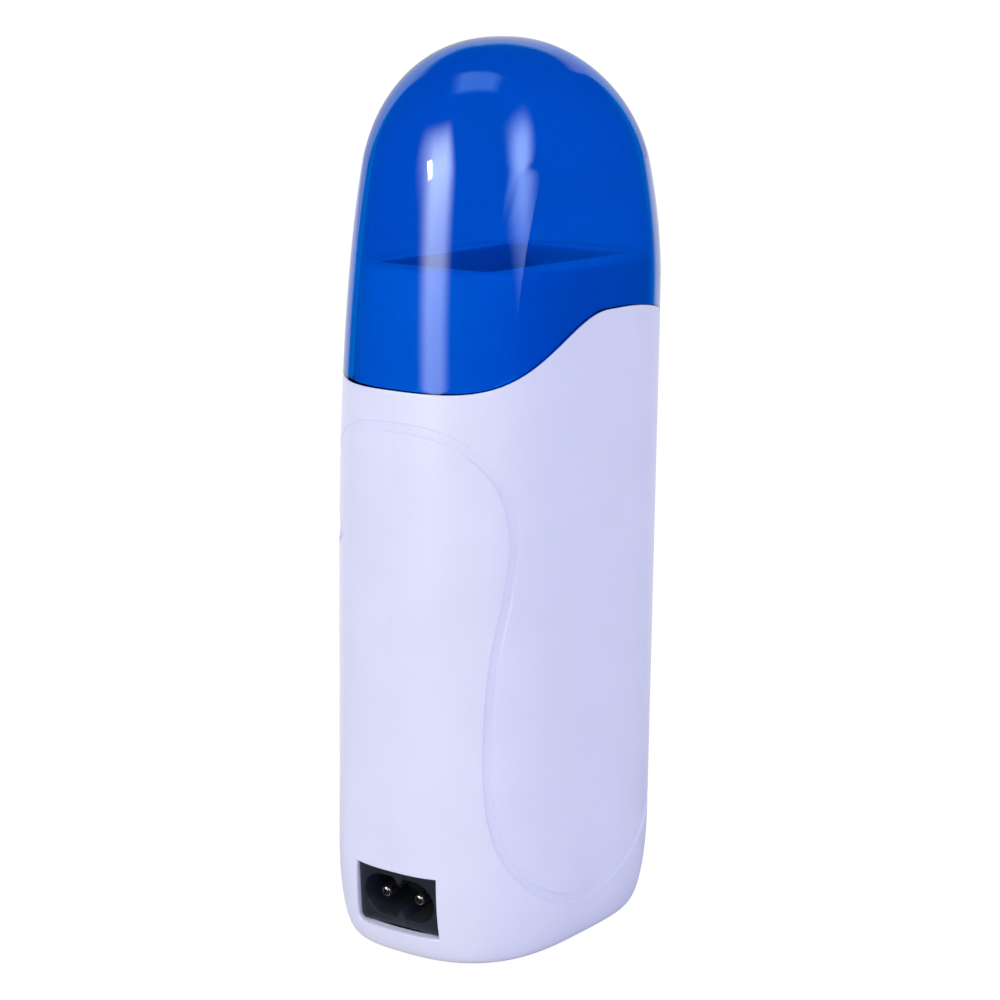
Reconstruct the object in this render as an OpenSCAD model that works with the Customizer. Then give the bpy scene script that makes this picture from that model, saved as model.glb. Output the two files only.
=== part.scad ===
// Roll-on wax heater: a hand-held warmer for one wax cartridge. Two white half
// shells hold a two-pin mains inlet low on one narrow end and a heated cup that
// hangs from a neck; a translucent cap slides down over the neck.
// Millimetres. +Z is up, the base stands on z = 0, and the two shells meet on
// the plane y = 0. The inlet is at the -X end.

/* [Housing] */
// Height of the whole heater, cap on
height = 187.5; // [184:0.5:200]
// Air between the heated cup and the screw bosses beside it
boss_air = 1.1; // [0.8:0.1:3]
// Air between the heater's screws and the front shell
heater_air = 3.1; // [2.5:0.1:5]
// How much wider the housing is at the neck's level than above the foot
flare_w = 2; // [1:0.1:4]
// How much thinner the housing is at the neck's level than above the foot
draft_d = 1; // [0:0.1:2]
// Height at which the walls have reached the upper width and depth
taper_top = 140; // [130:1:150]
// Fullness of the plan towards the narrow ends; 2 is an ellipse
end_form = 3.2; // [2.8:0.1:3.6]
// Fullness of the plan towards the broad faces
broad_form = 2.6; // [2.4:0.1:3]
// Fullness of the plan at the crown of the cap
crown_form = 2.3; // [2.1:0.1:2.6]
// Thickness of the shells' walls
wall = 2; // [1.6:0.1:2.4]
// Thickness of the shells' floor
floor_t = 2.5; // [1.5:0.1:3.5]

/* [Foot] */
// Height over which the foot is drawn in
tuck_h = 21; // [18:0.5:24]
// How far each narrow end is drawn in at the floor
tuck_w = 5; // [3:0.1:5.5]
// How far each broad face is drawn in at the floor
tuck_d = 3; // [1.5:0.1:4]

/* [Dome] */
// Height at which the inlet end starts to lean in
dome_inlet_z = 72; // [60:1:80]
// Height at which the far end starts to lean in
dome_far_z = 137; // [130:1:142]
// Height at which the broad faces start to lean in
dome_broad_z = 163; // [155:1:168]

/* [Shoulder] */
// Height of the shoulder under the cap, at the inlet end
edge_low = 118.8; // [116:0.2:124]
// Height of the shoulder at its peak
edge_high = 133.5; // [130:0.2:138]
// Where the shoulder's rise ends, measured from the middle
rise_end = 2; // [-4:1:6]
// Where its fall towards the far end starts
fall_start = 7; // [6:1:12]
// How far it falls by the far end
edge_fall = 6; // [3:0.2:8]

/* [Groove] */
// Width of the decorative groove
groove_w = 2.2; // [1.6:0.1:3]
// Depth of the decorative groove
groove_d = 0.4; // [0.2:0.05:0.7]
// Height of the groove's lowest point
groove_foot = 10.2; // [8:0.2:12]
// How far below the shoulder it crosses the inlet end
groove_drop = 6.2; // [5:0.2:9]

/* [Cap] */
// Thickness of the cap's wall
cap_wall = 1.8; // [1.4:0.1:2]
// Gap between the cap's rim and the shoulder
cap_seat = 0.3; // [0.2:0.05:0.5]

/* [Neck] */
// Height of the neck's top
neck_top = 142.5; // [140:0.5:146]
// Gap between the neck and the shells
neck_fit = 0.3; // [0.2:0.05:0.5]
// Thickness of the neck's wall
neck_wall = 1.6; // [1.2:0.1:2]
// Thickness of the neck's top deck
deck_t = 1.6; // [1.2:0.1:2.4]
// Height of the neck's lower rim, inside the shells
neck_foot = 105; // [102:0.5:108]
// Height of the bottom of the cartridge guide under the deck
guide_foot = 112; // [110:0.5:114]
// Thickness of the cartridge guide
guide_wall = 1.6; // [1.2:0.1:2]

/* [Cartridge well] */
// Width of the opening for the cartridge
well_w = 49; // [46:0.5:50]
// Depth of the opening for the cartridge
well_d = 27; // [25:0.5:28]
// Corner radius of the opening
well_r = 2.5; // [1.5:0.1:4]
// Extra room in the cup, on every side
cup_room = 0.2; // [0:0.05:0.4]
// Thickness of the cup's wall
cup_wall = 1.2; // [1:0.1:1.5]
// Thickness of the cup's bottom
cup_floor = 1.5; // [1:0.1:3]
// Height of the cup's underside
cup_foot = 40; // [38:0.5:44]
// Thickness of the flange that the cup hangs from
flange_t = 1.5; // [1:0.1:2]

/* [Heater] */
// Width of each ceramic heating tile
tile_w = 15; // [12:0.5:16]
// Height of each ceramic heating tile
tile_h = 40; // [30:1:42]
// Thickness of the tiles
tile_t = 2.2; // [1.6:0.1:2.6]
// Space between the two tiles
tile_gap = 2; // [1:0.5:3]
// Thickness of each electrode
electrode_t = 0.5; // [0.3:0.05:0.8]
// Thickness of the insulating film round the stack
film_t = 0.2; // [0.1:0.05:0.4]
// Thickness of the plate that clamps the stack
clamp_t = 0.8; // [0.6:0.1:1.2]
// Height of the lower edge of the tiles
heater_foot = 58; // [56:1:62]
// Width of the cup's screw rails
rail_w = 2.6; // [2.4:0.1:3]

/* [Cut-outs] */
// Width of the bimetal thermostat
stat_w = 8; // [6:0.5:9]
// Height of the bimetal thermostat
stat_h = 15; // [12:0.5:18]
// Thickness of the bimetal thermostat
stat_t = 4; // [3.6:0.1:4.6]
// Height of its lower edge
stat_foot = 72; // [68:1:76]
// Radius of the thermal fuse
fuse_r = 1.6; // [1.2:0.1:1.7]
// Length of the thermal fuse
fuse_l = 11; // [9:0.5:12]
// Thickness of the strap over both
strap_t = 0.6; // [0.4:0.1:1]

/* [Inlet] */
// Width of the inlet's face
inlet_w = 19.5; // [19:0.1:20.5]
// Height of the inlet's face
inlet_h = 12.7; // [12:0.1:13.2]
// Depth of the inlet behind its face
inlet_l = 15; // [14:0.5:16]
// Height of the middle of the face
inlet_z = 12.5; // [12:0.1:13]
// How far the face lies behind the housing's outline
inlet_sunk = 2.3; // [2:0.1:2.6]
// Lean of the face
inlet_tilt = 8; // [6:0.5:10]
// Width of the socket
socket_w = 17.7; // [17.2:0.1:18]
// Height of the socket
socket_h = 9.1; // [8.6:0.1:9.6]
// Depth of the socket
socket_l = 11.5; // [10.5:0.1:12.5]
// Distance between the two pins
pin_pitch = 8.6; // [8.4:0.1:8.8]
// Radius of each pin
pin_r = 1.2; // [1:0.05:1.3]
// How far the pins' tips lie behind the face
pin_sunk = 0.9; // [0.5:0.1:1.5]

/* [Fasteners] */
// Radius of the shell screws' bosses
boss_r = 4; // [3.8:0.1:4.2]
// Radius of the shell screws' threads
screw_r = 1.4; // [1.2:0.05:1.5]
// Radius of their heads
head_r = 2.6; // [2.3:0.1:2.8]
// Height of their heads
head_h = 1.8; // [1.4:0.1:2.4]
// Distance of the lower pair from the middle
low_screw_x = 20; // [18:0.5:21]
// Height of the lower pair
low_screw_z = 30; // [28:0.5:32]
// Height of the upper pair
high_screw_z = 88; // [84:1:94]

/* [Leads] */
// Radius of each insulated lead
lead_r = 0.9; // [0.7:0.05:1]

/* [Hidden] */
$fn = 48;

// Curves of the outline, as exponents: a larger one is squarer
tuck_p = 2.1;
dome_inlet_p = 2.6;
dome_far_p = 1.7;
dome_broad_p = 2.2;

// Facets round the full plan, a multiple of 4
around = 48;
// Clearance of a thread or a pin in its hole
thread_fit = 0.02;
// A cut runs this far past the face that it opens
past = 1;

// The housing is built round the cup: its width goes round the cup and the screw
// bosses beside it, its depth round the cup and the heater screwed to its front
cup_w = well_w + 2 * (cup_room + cup_wall);
cup_d = well_d + 2 * (cup_room + cup_wall);
stack_t = tile_t + 2 * electrode_t + 2 * film_t;
small_head_h = 1.1;
base_w = cup_w + 2 * (boss_air + 2 * boss_r + wall);
base_d = cup_d + 2 * (stack_t + clamp_t + small_head_h + heater_air + wall);
top_w = base_w + flare_w;
top_d = base_d - draft_d;

function clamp01(t) = min(1, max(0, t));
function mix(a, b, t) = a + (b - a) * t;

// ---- The housing's outline, shared by the shells, the neck and the cap ----

// Share of the full size that is left at height z, on a dome from z0 to top
function dome(z, z0, top, p) =
    pow(max(0, 1 - pow(clamp01((z - z0) / (top - z0)), p)), 1 / p);

// Share of the foot's full draw that the wall has at height z
function tuck(z) =
    1 - pow(1 - pow(clamp01((tuck_h - z) / tuck_h), tuck_p), 1 / tuck_p);

// Half of a width or depth at height z, below the dome
function half_size(z, low, high, drawn) =
    mix(low, high, max(0, (z - tuck_h) / (taper_top - tuck_h))) / 2 - drawn * tuck(z);

// Half width at height z on the inlet's side (-1) or the far side (1)
function half_w(z, side, inset) =
    (half_size(min(z, height - inset), base_w, top_w, tuck_w) - inset)
    * (side < 0 ? dome(z, dome_inlet_z, height - inset, dome_inlet_p)
                : dome(z, dome_far_z, height - inset, dome_far_p));
function half_d(z, inset) =
    (half_size(min(z, height - inset), base_d, top_d, tuck_d) - inset)
    * dome(z, dome_broad_z, height - inset, dome_broad_p);

function crown(z) = clamp01((z - dome_broad_z) / (height - dome_broad_z));
function end_power(z) = mix(end_form, crown_form, crown(z));
function broad_power(z) = mix(broad_form, crown_form, crown(z));

// Point of the outline, drawn in by inset, at angle a and height z
function skin(a, z, inset) = [
    half_w(z, cos(a), inset) * sign(cos(a)) * pow(abs(cos(a)), 2 / end_power(z)),
    half_d(z, inset) * sign(sin(a)) * pow(abs(sin(a)), 2 / broad_power(z)),
    z];

// Half depth of the outline at a place across its width, 0 outside it
function skin_y(x, z, inset) = half_d(z, inset) * pow(max(0,
    1 - pow(abs(x) / half_w(z, x, inset), end_power(z))), 1 / broad_power(z));

// Height of the shoulder at a place across the width
edge_mid = (edge_low + edge_high) / 2;
function shoulder(x) = let(
    rise_start = -base_w / 2,
    up = clamp01((x - rise_start) / (rise_end - rise_start)),
    down = clamp01((x - fall_start) / (top_w / 2 - fall_start)))
    mix(edge_low, edge_high, (1 - cos(180 * up)) / 2) - edge_fall * down * down;
function edge_z(a) = shoulder(skin(a, edge_mid, 0)[0]);

// ---- Closed skins ----

// Faces between ring j and ring k, of n points each, the ring closed on itself
function band(j, k, n) = [for (i = [0:n - 1]) let(m = (i + 1) % n)
    each [[j * n + i, k * n + i, k * n + m], [j * n + i, k * n + m, j * n + m]]];
function flat(list) = [for (part = list) each part];

// A solid whose skin runs over the rings from the first to the last, both closed
module lidded(rings) {
    n = len(rings[0]);
    last = len(rings) - 1;
    polyhedron(points = flat(rings), faces = concat(
        [[for (i = [0:n - 1]) i]],
        flat([for (k = [0:last - 1]) band(k, k + 1, n)]),
        [[for (i = [n - 1:-1:0]) last * n + i]]));
}

// The same, with each end drawn together in one point
module pointed(tip, rings, tail) {
    n = len(rings[0]);
    count = len(rings);
    polyhedron(points = concat(flat(rings), [tip, tail]), faces = concat(
        [for (i = [0:n - 1]) [count * n, i, (i + 1) % n]],
        flat([for (k = [0:count - 2]) band(k, k + 1, n)]),
        [for (i = [0:n - 1]) [count * n + 1, (count - 1) * n + (i + 1) % n,
            (count - 1) * n + i]]));
}

function ring(z, inset) =
    [for (i = [0:around - 1]) skin(-360 * i / around, z, inset)];

// The outline, drawn in by inset, as a solid between two heights
module slice(z0, z1, inset) {
    lidded([ring(z1, inset), ring(z0, inset)]);
}

// ---- Tubes swept along a curve ----

// Smooth curve through points chosen by hand, with steps points from each to the
// next; it runs straight out of the first point and into the last
function smooth(p, steps) = let(last = len(p) - 1) concat([p[0]],
    [for (i = [1:last - 2], s = [0:steps - 1]) let(
        t = s / steps, a = p[i - 1], b = p[i], c = p[i + 1], d = p[i + 2])
        (2 * b + (c - a) * t + (2 * a - 5 * b + 4 * c - d) * t * t
            + (3 * b - a - 3 * c + d) * t * t * t) / 2],
    [p[last - 1], p[last]]);
function unit(v) = v / norm(v);

// Sideways direction of a tube at each point, carried along without twist
function carried(dirs, i, n) = i >= len(dirs) ? [] :
    let(m = unit(n - dirs[i] * (n * dirs[i]))) concat([m], carried(dirs, i + 1, m));

module tube(p, r) {
    sides = 8;
    last = len(p) - 1;
    dirs = [for (i = [0:last]) unit(p[min(last, i + 1)] - p[max(0, i - 1)])];
    first = unit(cross(dirs[0], [0.3, 0.9, 0.2]));
    across = carried(dirs, 0, first);
    lidded([for (i = [0:last]) let(n = across[i], b = cross(dirs[i], n))
        [for (k = [0:sides - 1]) let(a = 360 * k / sides)
            p[i] + r * (n * cos(a) + b * sin(a))]]);
}

// ---- Flat outlines ----

// Rectangle with true round corners
module round_rect(w, d, r) {
    square([w - 2 * r, d], center = true);
    square([w, d - 2 * r], center = true);
    for (x = [-1, 1], y = [-1, 1]) translate([x * (w / 2 - r), y * (d / 2 - r)]) circle(r);
}

// ---- Half shells ----

// Heights of a shell's rings; the last ones rise to the shoulder in equal steps
foot_steps = 4;
foot_levels = [for (i = [0:foot_steps]) mix(floor_t, tuck_h, pow(i / foot_steps, 1.2))];
level_top = edge_low - 18;
straight = [for (t = [0.35, 0.68, 0.84, 1]) mix(tuck_h, level_top, t)];
levels = concat([0, 0.28 * floor_t], foot_levels, straight);
floor_level = 2;
rise_steps = 3;
function shell_z(k, a) = k < len(levels) ? levels[k] :
    mix(level_top, edge_z(a), (k - len(levels) + 1) / rise_steps);

// One half of the housing, y < 0: a bowl split on the plane y = 0. Its skin is
// an outer grid, an inner grid from the floor up, and the strips between them.
module half_bowl() {
    n = around / 2;
    top = len(levels) - 1 + rise_steps;
    row = n + 1;
    inner = (top + 1) * row;
    function o(k, i) = k * row + i;
    function q(k, i) = inner + (k - floor_level) * row + i;
    points = concat(
        [for (k = [0:top], i = [0:n]) let(a = 180 + 180 * i / n) skin(a, shell_z(k, a), 0)],
        [for (k = [floor_level:top], i = [0:n]) let(a = 180 + 180 * i / n)
            skin(a, shell_z(k, a), wall)]);
    outside = [for (k = [0:top - 1], i = [0:n - 1]) each
        [[o(k, i), o(k + 1, i), o(k + 1, i + 1)], [o(k, i), o(k + 1, i + 1), o(k, i + 1)]]];
    inside = [for (k = [floor_level:top - 1], i = [0:n - 1]) each
        [[q(k, i), q(k + 1, i + 1), q(k + 1, i)], [q(k, i), q(k, i + 1), q(k + 1, i + 1)]]];
    rim = [for (i = [0:n - 1]) each
        [[o(top, i), q(top, i), q(top, i + 1)], [o(top, i), q(top, i + 1), o(top, i + 1)]]];
    seam = [for (k = [floor_level:top - 1]) each
        [[o(k, 0), q(k, 0), q(k + 1, 0), o(k + 1, 0)],
            [o(k, n), o(k + 1, n), q(k + 1, n), q(k, n)]]];
    f = floor_level;
    seam_floor = concat(
        [for (k = [0:f - 2]) [o(k, 0), o(k, n), o(k + 1, n), o(k + 1, 0)]],
        [[o(f - 1, 0), o(f - 1, n), o(f, n), q(f, n), q(f, 0), o(f, 0)]]);
    underside = [[for (i = [0:n]) o(0, i)]];
    floor_face = [[for (i = [n:-1:0]) q(f, i)]];
    polyhedron(points = points, faces = concat(
        outside, inside, rim, seam, seam_floor, underside, floor_face));
}

// The groove's middle line on a broad face: across the width from the middle
// (1 is the half width) and up from its lowest point (1 is its crossing height)
groove_line = [[-1.05, 1], [-1, 0.992], [-0.89, 0.95], [-0.76, 0.875], [-0.7, 0.775],
    [-0.73, 0.67], [-0.795, 0.535], [-0.82, 0.37], [-0.795, 0.21], [-0.7, 0.115],
    [-0.51, 0.047], [-0.27, 0.008], [0, 0], [0.27, 0.025], [0.54, 0.074],
    [0.78, 0.138], [0.96, 0.196], [1.05, 0.215]];
groove_rise = edge_low - groove_drop - groove_foot;

// A band that follows the line, from just under the skin to well outside it
module groove_cut() {
    line = smooth([for (p = groove_line)
        [p[0] * base_w / 2, groove_foot + p[1] * groove_rise]], 5);
    last = len(line) - 1;
    out = base_d / 2 + past;
    lidded([for (i = [0:last]) let(
        d = unit(line[min(last, i + 1)] - line[max(0, i - 1)]),
        side = [-d[1], d[0]] * groove_w / 2,
        u = line[i] + side, v = line[i] - side,
        yu = skin_y(u[0], u[1], groove_d), yv = skin_y(v[0], v[1], groove_d))
        [[v[0], -out, v[1]], [v[0], yv > 0 ? -yv : past, v[1]],
            [u[0], yu > 0 ? -yu : past, u[1]], [u[0], -out, u[1]]]]);
}

// The screws: place across the width, height, seat of the head behind the seam,
// and the half thickness of what is clamped between the two bosses
high_screw_x = cup_w / 2 + boss_air + boss_r;
low_seat = 12;
high_seat = 9;
ear_t = 2;
screws = [for (s = [-1, 1]) each [
    [s * low_screw_x, low_screw_z, low_seat, 0],
    [s * high_screw_x, high_screw_z, high_seat, ear_t / 2]]];
thread_l = 8;
// A boss runs out into the wall that carries it, and follows the wall's curve
module boss(x, start, z) {
    intersection() {
        translate([x, -start, z]) rotate([90, 0, 0]) cylinder(r = boss_r, h = base_d / 2);
        slice(z - boss_r - past, z + boss_r + past, 0.4 * wall);
    }
}

// Frame on the inlet's face: x runs up the face, z outwards
inlet_x = -(base_w / 2 - tuck_w * tuck(inlet_z) - inlet_sunk);
module on_inlet() {
    translate([inlet_x, 0, inlet_z]) rotate([0, -90 - inlet_tilt, 0]) children();
}

// The inlet's face with a round lower corner on the rear side
inlet_corner = 1.2;
inlet_gap = 0.1;
module inlet_outline(gap) {
    h = inlet_h / 2 + gap;
    w = inlet_w / 2 + gap;
    r = inlet_corner;
    difference() {
        square([2 * h, 2 * w], center = true);
        translate([-h - past, w - r]) square([r + past, r + past]);
    }
    translate([r - h, w - r]) circle(r);
}

// Side lugs of the inlet, held in a slot of the shells' cradle
lug_reach = 1.65;
lug_front = 3;
lug_t = 2;
cradle_wall = 1.5;
module cradle() {
    near = inlet_w / 2 + 0.35;
    far = near + lug_reach + cradle_wall + 0.4;
    front = lug_front - cradle_wall;
    on_inlet() difference() {
        translate([-inlet_h / 2, -far, -front - lug_t - 2 * cradle_wall - 0.3])
            cube([inlet_h, far - near, lug_t + 2 * cradle_wall + 0.3]);
        translate([-inlet_h / 2 - past, -near - lug_reach + 0.15, -lug_front - lug_t - 0.15])
            cube([inlet_h + 2 * past, lug_reach + past, lug_t + 0.3]);
    }
}

// What both halves share, as the front one has it
module plain_half() {
    difference() {
        union() {
            half_bowl();
            for (s = screws) boss(s[0], s[3], s[1]);
            cradle();
        }
        groove_cut();
    }
}

module front_shell() {
    color("white") difference() {
        plain_half();
        for (s = screws) translate([s[0], past, s[1]]) rotate([90, 0, 0])
            cylinder(r = screw_r + thread_fit, h = past + thread_l + 0.5);
        on_inlet() translate([0, 0, -wall - 0.5]) linear_extrude(wall + inlet_sunk + 4)
            inlet_outline(inlet_gap);
    }
}

module rear_shell() {
    color("white") difference() {
        mirror([0, 1, 0]) plain_half();
        for (s = screws) {
            translate([s[0], -past, s[1]]) rotate([-90, 0, 0])
                cylinder(r = screw_r + 0.2, h = base_d);
            translate([s[0], s[2], s[1]]) rotate([-90, 0, 0])
                cylinder(r = head_r + 0.3, h = base_d);
        }
        on_inlet() translate([0, 0, -wall - 0.5]) linear_extrude(wall + inlet_sunk + 4)
            inlet_outline(inlet_gap);
    }
}

// ---- Cap ----

cap_level = edge_high + 8;
dome_steps = 12;
module cap() {
    inset = cap_wall;
    // Heights above the rim crowd together towards the crown
    function up(top) = [for (i = [0:dome_steps - 1])
        mix(cap_level, top, pow(sin(90 * i / dome_steps), 1.15))];
    function rim_ring(t, inset) = [for (i = [0:around - 1]) let(a = -360 * i / around)
        skin(a, mix(edge_z(a) + cap_seat, cap_level, t), inset)];
    low = [for (t = [0, 0.34, 0.67]) t];
    outer = concat([for (t = low) rim_ring(t, 0)], [for (z = up(height)) ring(z, 0)]);
    inner = concat([for (t = low) rim_ring(t, inset)],
        [for (z = up(height - inset)) ring(z, inset)]);
    count = len(outer);
    color("royalblue", 0.8) pointed([0, 0, height],
        concat([for (k = [count - 1:-1:0]) outer[k]], inner), [0, 0, height - inset]);
}

// ---- Neck ----

neck_inset = wall + neck_fit;
collar_boss_r = 2.4;
collar_boss_h = 14;
collar_screw_x = cup_w / 2 + collar_boss_r + 0.3;
collar_screw_y = 7;
collar_thread_r = 1.1;
collar_thread_l = 8;
collar_head_r = 2.1;
ear_w = 2 * boss_r - 0.4;
ear_join = 4;
module neck_collar() {
    heights = [for (t = [0, 0.2, 0.4, 0.6, 0.8, 1]) mix(neck_foot, neck_top, t)];
    inside = [for (t = [0, 0.25, 0.5, 0.75, 1]) mix(neck_foot, neck_top - deck_t, t)];
    in = neck_inset + neck_wall;
    color("white") difference() {
        union() {
            lidded(concat([for (k = [5:-1:0]) ring(heights[k], neck_inset)],
                [for (z = inside) ring(z, in)]));
            translate([0, 0, guide_foot]) linear_extrude(neck_top - deck_t / 2 - guide_foot)
                round_rect(well_w + 2 * guide_wall, well_d + 2 * guide_wall,
                    well_r + guide_wall);
            for (x = [-1, 1], y = [-1, 1])
                translate([x * collar_screw_x, y * collar_screw_y, guide_foot]) {
                    cylinder(r = collar_boss_r, h = collar_boss_h);
                    translate([x > 0 ? -collar_boss_r - 1 : 0, -1, 0])
                        cube([collar_boss_r + 1, 2, collar_boss_h]);
                }
            // An ear hangs from the ring at each end, between the upper bosses
            for (x = [-1, 1]) mirror([x < 0 ? 1 : 0, 0, 0]) {
                translate([high_screw_x - ear_w / 2, -ear_t / 2, high_screw_z - boss_r])
                    cube([ear_w, ear_t, neck_foot + ear_join - high_screw_z + boss_r]);
                translate([high_screw_x, -ear_t / 2, neck_foot])
                    cube([half_w(neck_foot, x, neck_inset + neck_wall / 2) - high_screw_x,
                        ear_t, ear_join]);
            }
        }
        translate([0, 0, guide_foot - past])
            linear_extrude(neck_top - guide_foot + 2 * past) round_rect(well_w, well_d, well_r);
        for (x = [-1, 1]) {
            translate([x * high_screw_x, ear_t, high_screw_z]) rotate([90, 0, 0])
                cylinder(r = screw_r + 0.2, h = 2 * ear_t);
            for (y = [-1, 1]) translate([x * collar_screw_x, y * collar_screw_y,
                guide_foot - past])
                cylinder(r = collar_thread_r + thread_fit, h = past + collar_thread_l + 1);
        }
    }
}

// ---- Heated cup ----

cup_r = well_r + cup_room + cup_wall;
stack_w = 2 * tile_w + tile_gap + 2;
front_rail_x = stack_w / 2 + film_t + 0.8 + rail_w / 2;
rail_foot = heater_foot - 4;
rail_h = tile_h + 8;
fuse_x = -(stat_w / 2 + 0.5 + stat_t / 2);
strap_rails = [fuse_x - stat_t / 2 - 0.4 - rail_w / 2, stat_w / 2 + 0.4 + rail_w / 2];
strap_z = stat_foot + stat_h / 2;
strap_h = 7;
small_r = 0.8;
small_l = 2.6;
small_head_r = 1.5;
front_screw_z = [rail_foot + 4, rail_foot + rail_h - 4];

module heater_cup() {
    color("silver") difference() {
        union() {
            translate([0, 0, cup_foot]) linear_extrude(guide_foot - cup_foot)
                round_rect(cup_w, cup_d, cup_r);
            translate([0, 0, guide_foot - flange_t]) linear_extrude(flange_t)
                square([2 * (collar_screw_x + collar_head_r + 0.1),
                    2 * (collar_screw_y + collar_head_r + 0.7)], center = true);
            for (x = [-1, 1]) translate([x * front_rail_x - rail_w / 2, -cup_d / 2 - stack_t,
                rail_foot]) cube([rail_w, stack_t + cup_wall / 2, rail_h]);
            for (x = strap_rails) translate([x - rail_w / 2, cup_d / 2 - cup_wall / 2,
                strap_z - strap_h / 2]) cube([rail_w, stat_t + cup_wall / 2, strap_h]);
        }
        translate([0, 0, cup_foot + cup_floor]) linear_extrude(guide_foot)
            round_rect(cup_w - 2 * cup_wall, cup_d - 2 * cup_wall, cup_r - cup_wall);
        for (x = [-1, 1], y = [-1, 1]) translate([x * collar_screw_x, y * collar_screw_y,
            guide_foot - flange_t - past]) cylinder(r = collar_thread_r + 0.2, h = 4);
        for (x = [-1, 1], z = front_screw_z)
            translate([x * front_rail_x, -cup_d / 2 - stack_t + small_l + 0.3, z])
                rotate([90, 0, 0]) cylinder(r = small_r + thread_fit, h = small_l + past);
        for (x = strap_rails) translate([x, cup_d / 2 + stat_t - small_l - 0.3, strap_z])
            rotate([-90, 0, 0]) cylinder(r = small_r + thread_fit, h = small_l + past);
    }
}

// The heater is a sandwich on the cup's front face. Each layer starts where the
// one before it ends, counted outwards from the cup.
film_y = cup_d / 2;
inner_y = film_y + film_t;
tile_y = inner_y + electrode_t;
outer_y = tile_y + tile_t;
clamp_y = film_y + stack_t;
tab_w = 4;
tab_x = 6;
tab_h = 8;

module ptc_tiles() {
    color("saddlebrown") for (x = [-1, 1])
        translate([x * (tile_w + tile_gap) / 2 - tile_w / 2, -tile_y - tile_t, heater_foot])
            cube([tile_w, tile_t, tile_h]);
}

// An electrode covers both tiles and ends in a solder tab below them
module electrode(y, side) {
    w = 2 * tile_w + tile_gap + 1;
    color("goldenrod") translate([0, -y - electrode_t, 0]) {
        translate([-w / 2, 0, heater_foot]) cube([w, electrode_t, tile_h]);
        translate([side * tab_x - tab_w / 2, 0, heater_foot - tab_h])
            cube([tab_w, electrode_t, tab_h + 1]);
    }
}
module inner_electrode() {
    electrode(inner_y, -1);
}
module outer_electrode() {
    electrode(outer_y, 1);
}

module insulation_film() {
    color("orange") translate([0, -film_y - stack_t / 2, heater_foot - 2])
        linear_extrude(tile_h + 4) difference() {
            square([stack_w + 2 * film_t, stack_t], center = true);
            square([stack_w, stack_t - 2 * film_t], center = true);
        }
}

module clamp_plate() {
    w = 2 * front_rail_x + rail_w;
    color("lightgray") difference() {
        translate([-w / 2, -clamp_y - clamp_t, rail_foot]) cube([w, clamp_t, rail_h]);
        for (x = [-1, 1], z = front_screw_z)
            translate([x * front_rail_x, -clamp_y + past, z]) rotate([90, 0, 0])
                cylinder(r = small_r + 0.15, h = clamp_t + 2 * past);
        // Two ribs' worth of slots let the plate bend onto the tiles
        for (x = [-1, 1]) translate([x * 5 - 0.75, -clamp_y - clamp_t - past,
            rail_foot + 8]) cube([1.5, clamp_t + 2 * past, rail_h - 16]);
    }
}

// ---- Thermostat and fuse on the cup's rear face ----

module thermostat() {
    color("dimgray") translate([-stat_w / 2, cup_d / 2, stat_foot])
        cube([stat_w, stat_t, stat_h]);
}
sleeve_r = stat_t / 2;
fuse_y = cup_d / 2 + sleeve_r;
fuse_foot = strap_z - fuse_l / 2;
sleeve_over = 3;
wire_r = 0.45;
module thermal_fuse() {
    color("lightblue") translate([fuse_x, fuse_y, 0]) {
        translate([0, 0, fuse_foot]) cylinder(r = fuse_r, h = fuse_l);
        translate([0, 0, fuse_foot - sleeve_over]) cylinder(r = wire_r,
            h = fuse_l + 2 * sleeve_over);
    }
}
module fuse_sleeve() {
    color("white") translate([fuse_x, fuse_y, fuse_foot - sleeve_over]) difference() {
        cylinder(r = sleeve_r, h = fuse_l + 2 * sleeve_over);
        translate([0, 0, -past]) cylinder(r = fuse_r + thread_fit,
            h = fuse_l + 2 * sleeve_over + 2 * past);
    }
}
module sensor_strap() {
    x0 = strap_rails[0] - rail_w / 2;
    x1 = strap_rails[1] + rail_w / 2;
    color("lightgray") difference() {
        translate([x0, cup_d / 2 + stat_t, strap_z - strap_h / 2])
            cube([x1 - x0, strap_t, strap_h]);
        for (x = strap_rails) translate([x, cup_d / 2 + stat_t - past, strap_z])
            rotate([-90, 0, 0]) cylinder(r = small_r + 0.15, h = strap_t + 2 * past);
    }
}

// ---- Screws ----

module screw(thread, length, head, head_height) {
    root = 0.3 * head_height;
    translate([0, 0, -root]) cylinder(r = thread, h = length + root);
    translate([0, 0, -head_height]) difference() {
        cylinder(r = head, h = head_height);
        for (a = [0, 90]) rotate([0, 0, a])
            translate([-head * 0.6, -head * 0.12, -past]) cube([head * 1.2, head * 0.24,
                past + head_height * 0.5]);
    }
}
module heater_screws() {
    color("gray") {
        for (x = [-1, 1], z = front_screw_z)
            translate([x * front_rail_x, -clamp_y - clamp_t, z]) rotate([-90, 0, 0])
                screw(small_r, small_l + clamp_t, small_head_r, small_head_h);
        for (x = strap_rails) translate([x, cup_d / 2 + stat_t + strap_t, strap_z])
            rotate([90, 0, 0]) screw(small_r, small_l + strap_t, small_head_r, small_head_h);
    }
}
module collar_screws() {
    color("gray") for (x = [-1, 1], y = [-1, 1])
        translate([x * collar_screw_x, y * collar_screw_y, guide_foot - flange_t])
            screw(collar_thread_r, flange_t + collar_thread_l, collar_head_r, 1.5);
}
module shell_screws() {
    color("gray") for (s = screws) translate([s[0], s[2], s[1]]) rotate([90, 0, 0])
        screw(screw_r, s[2] + thread_l, head_r, head_h);
}

// ---- Mains inlet ----

notch_d = 1.4;
notch_w = 2.6;
shank_r = 0.9;
tip_l = 0.8;
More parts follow.
